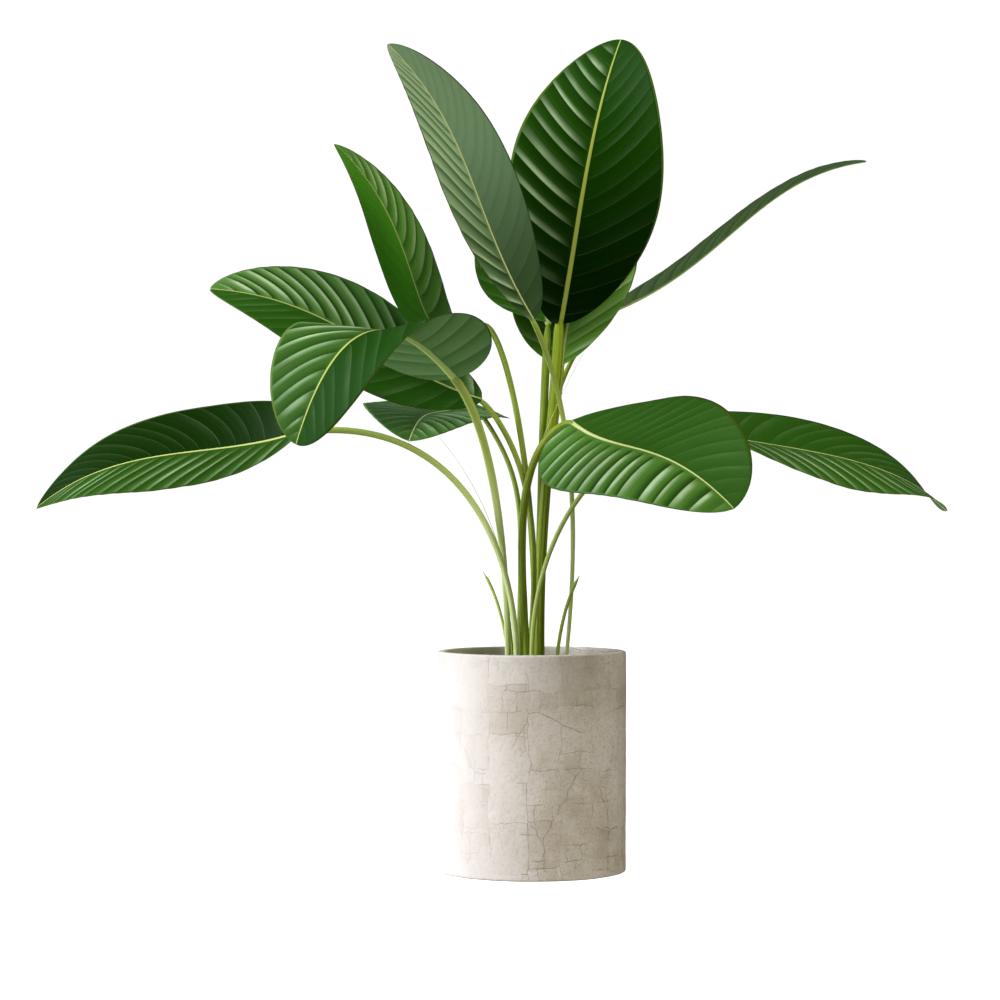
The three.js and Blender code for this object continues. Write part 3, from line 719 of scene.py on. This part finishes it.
# dry threads that hang among the stalks, from the top down, and their radius at the lower and upper end
threads = {
    'left': dict(curve=((-0.145, -0.012, 0.685), (-0.06, -0.012, 0.585), (-0.022, -0.02, 0.45),
                        (-0.023, -0.024, 0.31)), radius=(0.0006, 0.00022), stem=0.6),
    'right': dict(curve=((0.082, -0.03, 0.819), (0.058, -0.03, 0.778), (0.036, -0.03, 0.728),
                         (0.019, -0.03, 0.688)), radius=(0.0003, 0.0003), stem=0.1),
    'low': dict(curve=((-0.078, 0.008, 0.426), (-0.064, 0.008, 0.404), (-0.052, 0.008, 0.386),
                       (-0.043, 0.008, 0.37)), radius=(0.0003, 0.0002), stem=0.1),
}

for name, thread in threads.items():
    path = bezier(thread['curve'], stem['shortSteps'])[::-1]
    material = stemMaterial('thread-' + name, thread['stem'])
    thing = sweep('thread-' + name, path, *thread['radius'], material, seed=30, cornerShare=0.95)
    place(thing, 'stalk')
print('stalks swept')


# the pot's wall is turned and has trowelled unevenness
pot = {
    'radius': 0.15, 'height': 0.348, 'wall': 0.014, 'floor': 0.02, 'edge': 0.003,
    'around': 300, 'outerRows': 120, 'innerRows': 60, 'flatRows': 8, 'lipRows': 5, 'edgeRows': 4,
    'trowel': 0.0007, 'grit': 0.00025,   # height of the sweeps and of the grit
}


def arc(middle, radius, start, end, count):
    turns = [math.radians(start + (end - start) * i / count) for i in range(count + 1)]
    return [(middle[0] + radius * math.cos(t), middle[1] + radius * math.sin(t)) for t in turns]


def straight(first, last, count):
    return [tuple(mix(Vector(first), Vector(last), i / count)) for i in range(1, count)]


def potProfile():
    radius, height, edge = pot['radius'], pot['height'], pot['edge']
    inner, floor = radius - pot['wall'], pot['floor']
    foot = arc((radius - edge, edge), edge, -90, 0, pot['edgeRows'])
    lip = arc((radius - edge, height - edge), edge, 0, 90, pot['edgeRows'])
    lipIn = arc((inner + edge, height - edge), edge, 90, 180, pot['edgeRows'])
    return (straight((0, 0), foot[0], pot['flatRows']) + foot
            + straight(foot[-1], lip[0], pot['outerRows']) + lip
            + straight(lip[-1], lipIn[0], pot['lipRows']) + lipIn
            + straight(lipIn[-1], (inner, floor), pot['innerRows']) + [(inner, floor)]
            + straight((inner, floor), (0, floor), pot['flatRows']))


# height of the plaster above its even surface: broad trowel sweeps and grit
def plasterRise(spot):
    low = Vector((spot.x * 9, spot.y * 9, spot.z * 14))
    sweepRise = noise.fractal(low, 1.0, 2.0, 3, noise_basis='PERLIN_ORIGINAL')
    grit = noise.noise(spot * 420) * noise.noise(spot * 90 + Vector((7, 3, 1)))
    return pot['trowel'] * sweepRise + pot['grit'] * grit


def turnedMesh(name, profile, around, rise):
    points, faces = [], []
    for radius, height in profile:
        for i in range(around):
            turn = 2 * math.pi * i / around
            points.append(Vector((radius * math.cos(turn), radius * math.sin(turn), height)))
    rows = len(profile)
    for row in range(rows - 1):
        for i in range(around):
            j = (i + 1) % around
            faces.append((row * around + i, row * around + j, (row + 1) * around + j, (row + 1) * around + i))
    first, last = len(points), len(points) + 1
    points += [Vector((0, 0, profile[0][1])), Vector((0, 0, profile[-1][1]))]
    for i in range(around):
        j = (i + 1) % around
        faces.append((first, j, i))
        faces.append((last, (rows - 1) * around + i, (rows - 1) * around + j))
    mesh = bpy.data.meshes.new(name)
    mesh.from_pydata([tuple(p) for p in points], [], faces)
    mesh.shade_smooth()
    normals = [entry.vector.copy() for entry in mesh.vertex_normals]
    moved = [spot + normal * rise(spot) for spot, normal in zip(points, normals)]
    mesh.vertices.foreach_set('co', [value for spot in moved for value in spot])
    mesh.update()
    return mesh


plaster = {
    'light': (222, 216, 207), 'mid': (213, 205, 192), 'dark': (172, 158, 136), 'crack': (96, 82, 62),
    'patchSize': (0.05, 0.075), 'smallPatch': (0.03, 0.036), 'edgeWidth': 0.0007,
    'crackSize': 0.1, 'roughness': 0.84,
}


def plasterMaterial():
    material, board, shader = newMaterial('plaster', Specular_IOR_Level=0.25)
    here = board.add('ShaderNodeTexCoord', out='Object')
    x, y, z = board.apart(here)
    turn = board.maths('ARCTAN2', x, -y)   # 0 at the front, with the seam at the back
    wall = board.triple(turn * pot['radius'], z, 0.0)

    def stray(scale, detail, size):
        sockets = {'Vector': here, 'Scale': scale, 'Detail': detail}
        wobble = board.add('ShaderNodeTexNoise', None, sockets, out=1)
        return wall + (wobble - (0.5, 0.5, 0.5)) * size

    def cut(spot, feature):
        settings = {'voronoi_dimensions': '1D', 'feature': feature}
        return board.add('ShaderNodeTexVoronoi', settings, {'W': spot, 'Scale': 1.0})

    # three random values for each length that cut makes
    def chances(spot):
        return board.apart(cut(spot, 'F1').beside('Color'))

    # upright trowelled patches lie over each other: uneven strips, each cut into patches on its own, and
    # every patch has a height and a shade of its own and a fine edge
    def patches(first, firstSize, second, secondSize):
        within = second / secondSize + chances(first / firstSize)[0] * 37
        rise, shade, _ = chances(within)
        firstGap = cut(first / firstSize, 'DISTANCE_TO_EDGE') * firstSize
        secondGap = cut(within, 'DISTANCE_TO_EDGE') * secondSize
        gap = board.maths('MINIMUM', firstGap, secondGap)
        return rise, shade, 1 - board.ease(gap, 0.0, plaster['edgeWidth'])

    across, upright, _ = board.apart(stray(26.0, 7.0, 0.026))
    large, largeShade, largeEdge = patches(across, plaster['patchSize'][0], upright, plaster['patchSize'][1])
    across, upright, _ = board.apart(stray(44.0, 6.0, 0.014))
    small, smallShade, smallEdge = patches(
        upright, plaster['smallPatch'][1], across, plaster['smallPatch'][0])
    some = board.ease(board.noise(here, 15.0, 2.0), 0.47, 0.57)
    clouds = board.noise(here, 8.0, 6.0, 0.62)
    smears = board.noise(here * (1.0, 1.0, 0.35), 46.0, 4.0, 0.6)
    grit = board.noise(here, 330.0, 3.0, 0.7)
    specks = board.noise(here, 170.0, 5.0, 0.75)
    # painted light and shade across the pot: its marks, patches and bumps fade towards the left, which is
    # left lighter, and darker clouds and specks grow towards the right, partly the plaster's own and partly
    # painted shade
    fadeOnLeft = mix(0.3, 1.0, board.ease(x, -0.13, 0.0))   # marks fade towards the left: painted light
    rightwardShare = board.ease(x, -0.03, 0.1)                    # darker marks grow towards the right: partly painted shade
    speckShare = fadeOnLeft * 0.24 + rightwardShare * 0.24
    darkShares = [
        board.ease(clouds, 0.5, 0.7) * rightwardShare * 0.35,
        board.ease(largeShade, 0.2, 0.9) * fadeOnLeft * 0.3,
        board.ease(smallShade, 0.3, 0.9) * some * fadeOnLeft * 0.3,
        board.ease(smears, 0.54, 0.72) * fadeOnLeft * 0.15,
        board.ease(specks, 0.46, 0.66) * speckShare,
        board.ease(grit, 0.52, 0.68) * speckShare,
    ]
    light, mid, dark, deepest = [hue(*plaster[tone]) for tone in ('light', 'mid', 'dark', 'crack')]
    colour = board.blend(board.ease(clouds, 0.34, 0.66) * fadeOnLeft, light, mid)
    for share in darkShares:
        colour = board.blend(share, colour, dark)

    # hair cracks follow large uneven cells, and like the patches' edges they come and go
    settings = {'voronoi_dimensions': '2D', 'feature': 'DISTANCE_TO_EDGE'}
    cells = {'Vector': stray(42.0, 6.0, 0.02) * (1.0, 0.7, 1.0), 'Scale': 1 / plaster['crackSize']}
    edges = board.add('ShaderNodeTexVoronoi', settings, cells)
    crack = (1 - board.ease(edges, 0.0, 0.005)) * board.ease(board.noise(here, 17.0, 2.0), 0.5, 0.58)
    shown = board.ease(board.noise(here + (3.0, 1.0, 2.0), 24.0, 2.0), 0.44, 0.58)
    seam = board.maths('MAXIMUM', largeEdge * shown, smallEdge * some * shown)
    crack = board.maths('MAXIMUM', crack, seam * 0.7) * fadeOnLeft
    pits = board.add('ShaderNodeTexVoronoi', {'feature': 'F1'}, {'Vector': here, 'Scale': 330.0})
    pit = (1 - board.ease(pits, 0.1, 0.26)) * board.ease(board.noise(here, 34.0, 1.0), 0.5, 0.62) * fadeOnLeft
    colour = board.blend(crack * 0.45, colour, deepest)
    colour = board.blend(pit * 0.4, colour, deepest)
    height = clouds * 0.6 + large * 0.4 + small * some * 0.4 + smears * 0.3 + specks * 0.6 + grit * 0.25
    height = height * (fadeOnLeft + rightwardShare * 0.7) - crack * 0.6 - pit * 0.4
    bump = board.add('ShaderNodeBump', None, {'Strength': 0.9, 'Distance': 0.0016, 'Height': height})
    feed(board, shader, Base_Color=colour, Roughness=plaster['roughness'] + (grit - 0.5) * 0.12, Normal=bump)
    return material


thing = linked('plaster-pot', turnedMesh('plaster-pot', potProfile(), pot['around'], plasterRise))
thing.data.materials.append(plasterMaterial())
place(thing, 'plaster', 'pot')
print('pot turned')


# the soil is a rough mound with bark chips and grit strewn on it
soil = {
    'radius': 0.1357, 'bottom': 0.0203, 'top': 0.318, 'mound': 0.005, 'rough': 0.004,
    'rings': 46, 'around': 140, 'calmRim': 0.01, 'bareRim': 0.006,   # widths along the pot's wall
    'chips': 30000.0, 'chipSize': (0.0016, 0.0058), 'seed': 5,
}


def soilMesh():
    foot = (soil['radius'], soil['bottom'])
    edge = soil['top'] - soil['mound'] / 2
    rings = []
    for i in range(soil['rings']):
        share = 1 - i / soil['rings']
        rings.append((soil['radius'] * share, edge + soil['mound'] * 1.5 * (1 - share ** 2)))
    profile = straight((0, soil['bottom']), foot, 4) + [foot] + straight(foot, rings[0], 6) + rings

    def rise(spot):
        if spot.z < edge - 0.001:
            return 0.0
        inside = min(1, (soil['radius'] - Vector((spot.x, spot.y)).length) / soil['calmRim'])
        return soil['rough'] * noise.fractal(spot * 70, 0.8, 2.1, 4) * inside * 0.6

    return turnedMesh('soil-start', profile, soil['around'], rise)


strewInputs = {
    'Geometry': ['Geometry'], 'Float': ['Density', 'Least', 'Most'], 'Int': ['Seed'],
    'Material': ['Material'],
}


def strewTree():
    board, given = newTree('soilChips', strewInputs)
    spot = board.add('GeometryNodeInputPosition')
    x, y, _ = board.apart(spot)
    inside = board.maths('SQRT', x * x + y * y) < soil['radius'] - soil['bareRim']
    isTop = (board.apart(board.add('GeometryNodeInputNormal'))[2] > 0.5) * inside
    spread = {0: given['Geometry'], 'Selection': isTop, 'Density': given['Density'], 'Seed': given['Seed']}
    points = board.add('GeometryNodeDistributePointsOnFaces', {'distribute_method': 'RANDOM'}, spread)
    ball = board.add('GeometryNodeMeshIcoSphere', None, {0: 1.0, 1: 1})
    lumps = board.noise(spot, 1.6, 1.0) * 0.9 + 0.55
    chip = board.add('GeometryNodeSetPosition', None, {0: ball, 'Position': spot * lumps})

    def random(low, high, seed, kind='FLOAT', out=1, first=2):
        sockets = {first: low, first + 1: high, 'Seed': seed}
        return board.add('FunctionNodeRandomValue', {'data_type': kind}, sockets, out)

    size = random(0.0, 1.0, 3)
    size = mix(given['Least'], given['Most'], size * size * size)
    shape = random((0.5, 0.5, 0.25), (1.3, 1.0, 0.6), 4, 'FLOAT_VECTOR', 0, 0)
    twist = random((-0.6, -0.6, 0.0), (0.6, 0.6, 6.28), 5, 'FLOAT_VECTOR', 0, 0)
    spots = {0: points, 'Instance': chip, 'Rotation': twist, 'Scale': shape * size}
    chips = board.add('GeometryNodeInstanceOnPoints', None, spots)
    chips = board.add('GeometryNodeStoreNamedAttribute', {'data_type': 'FLOAT', 'domain': 'INSTANCE'},
                      {0: chips, 'Name': 'chip', 'Value': random(0.1, 1.0, 6)})
    together = board.add('GeometryNodeJoinGeometry', None, {0: chips})
    board.tree.links.new(given['Geometry'].socket, together.socket.node.inputs[0])
    return closeTree(board, together, given['Material'])


# the colours that the soil and its chips take by chance, and painted shade between the crumbs
soilFinish = {
    'tones': {0.0: (38, 26, 18), 0.3: (66, 46, 31), 0.7: (96, 70, 46), 0.93: (128, 104, 76),
              0.97: (206, 200, 188)},
    'shade': (150, 140, 130),
}


def soilMaterial():
    material, board, shader = newMaterial('soil', Specular_IOR_Level=0.2)
    here = board.add('ShaderNodeTexCoord', out='Object')
    crumbs = board.noise(here, 180.0, 5.0, 0.7)
    stops = [(share, hue(*tone)) for share, tone in soilFinish['tones'].items()]
    tone = board.add('ShaderNodeValToRGB', {'stops': stops}, {0: attribute(board, 'chip')})
    # painted shade: darker where the crumbs' bump is low
    colour = board.blend(1 - crumbs, tone, hue(*soilFinish['shade']), 'MULTIPLY')
    bump = board.add('ShaderNodeBump', None, {'Strength': 0.8, 'Distance': 0.0015, 'Height': crumbs})
    feed(board, shader, Base_Color=colour, Roughness=0.82 + crumbs * 0.16, Normal=bump)
    return material


values = {
    'Density': soil['chips'], 'Least': soil['chipSize'][0], 'Most': soil['chipSize'][1], 'Seed': soil['seed'],
    'Material': soilMaterial(),
}
thing = grown('soil-bed', strewTree(), values, soilMesh())
place(thing, 'soil', 'soil')
print('soil laid')


# white paper floor, soft light from the left, and a white surround that lights the plant only dimly
studio = {
    'floorRadius': 30.0, 'floorSides': 64, 'paperGlow': 1.0, 'aim': (0, 0, 0.6),
    'keyPlace': (-4.5, -0.5, 2.5), 'keySize': 4.6, 'keyPower': 520.0, 'keyTint': (0.99, 1.01, 1.13),
    'fillPlace': (2.5, -3.6, 3.8), 'fillSize': 3.0, 'fillPower': 176.0, 'fillTint': (1.0, 0.94, 0.8),
    'surround': 1.05, 'dimSide': 0.13, 'litSide': 0.36, 'mirrored': 0.35,
    'bounce': 0.34,                # light thrown up by the paper
    'dimTint': (1.0, 0.97, 0.9),   # light thrown back from the far side is warm
}


def floorMesh():
    radius, sides = studio['floorRadius'], studio['floorSides']
    turns = [math.tau * i / sides for i in range(sides)]
    rim = [(radius * math.cos(turn), radius * math.sin(turn), 0) for turn in turns]
    mesh = bpy.data.meshes.new('floor-paper')
    mesh.from_pydata(rim, [], [tuple(range(sides))])
    return mesh


def paperMaterial():
    return newMaterial(
        'paper', Base_Color=hue(250, 250, 250), Roughness=0.9, Specular_IOR_Level=0.1,
        Emission_Color=(1, 1, 1, 1), Emission_Strength=studio['paperGlow'])[0]


thing = linked('floor-paper', floorMesh())
thing.data.materials.append(paperMaterial())
thing.visible_diffuse = False
thing.visible_glossy = False


def softLight(name):
    spot = Vector(studio[name + 'Place'])
    data = bpy.data.lights.new(name, 'AREA')
    data.shape = 'SQUARE'
    data.size = studio[name + 'Size']
    data.energy = studio[name + 'Power']
    data.color = studio[name + 'Tint']
    lamp = bpy.data.objects.new(name, data)
    lamp.location = spot
    lamp.rotation_euler = (Vector(studio['aim']) - spot).to_track_quat('-Z', 'Y').to_euler()
    bpy.context.scene.collection.objects.link(lamp)
    return lamp


softLight('key')
softLight('fill').visible_glossy = False

world = bpy.data.worlds.new('surround')
world.use_nodes = True
board = Board(world.node_tree)
way = board.add('ShaderNodeTexCoord', out='Generated')
towardsKey = board.arrows('DOT_PRODUCT', way, tuple(Vector(studio['keyPlace']).normalized()), out=1)
lit = board.ease(towardsKey, -0.7, 0.9)
fromBelow = board.ease(-board.apart(way)[2], 0.1, 0.9)
dim = mix(studio['dimSide'], studio['litSide'], lit) + fromBelow * studio['bounce']
seen = board.add('ShaderNodeLightPath', out='Is Camera Ray')
dim = dim * (1 - seen.beside('Is Glossy Ray') * (1 - studio['mirrored']))
tint = board.blend(board.maths('MAXIMUM', lit, seen), (*studio['dimTint'], 1), (1, 1, 1, 1))
background = world.node_tree.nodes['Background']
world.node_tree.links.new(tint.socket, background.inputs['Color'])
world.node_tree.links.new(mix(dim, studio['surround'], seen).socket, background.inputs['Strength'])
bpy.context.scene.world = world
bpy.context.scene.view_settings.view_transform = 'Standard'
print('studio lit')
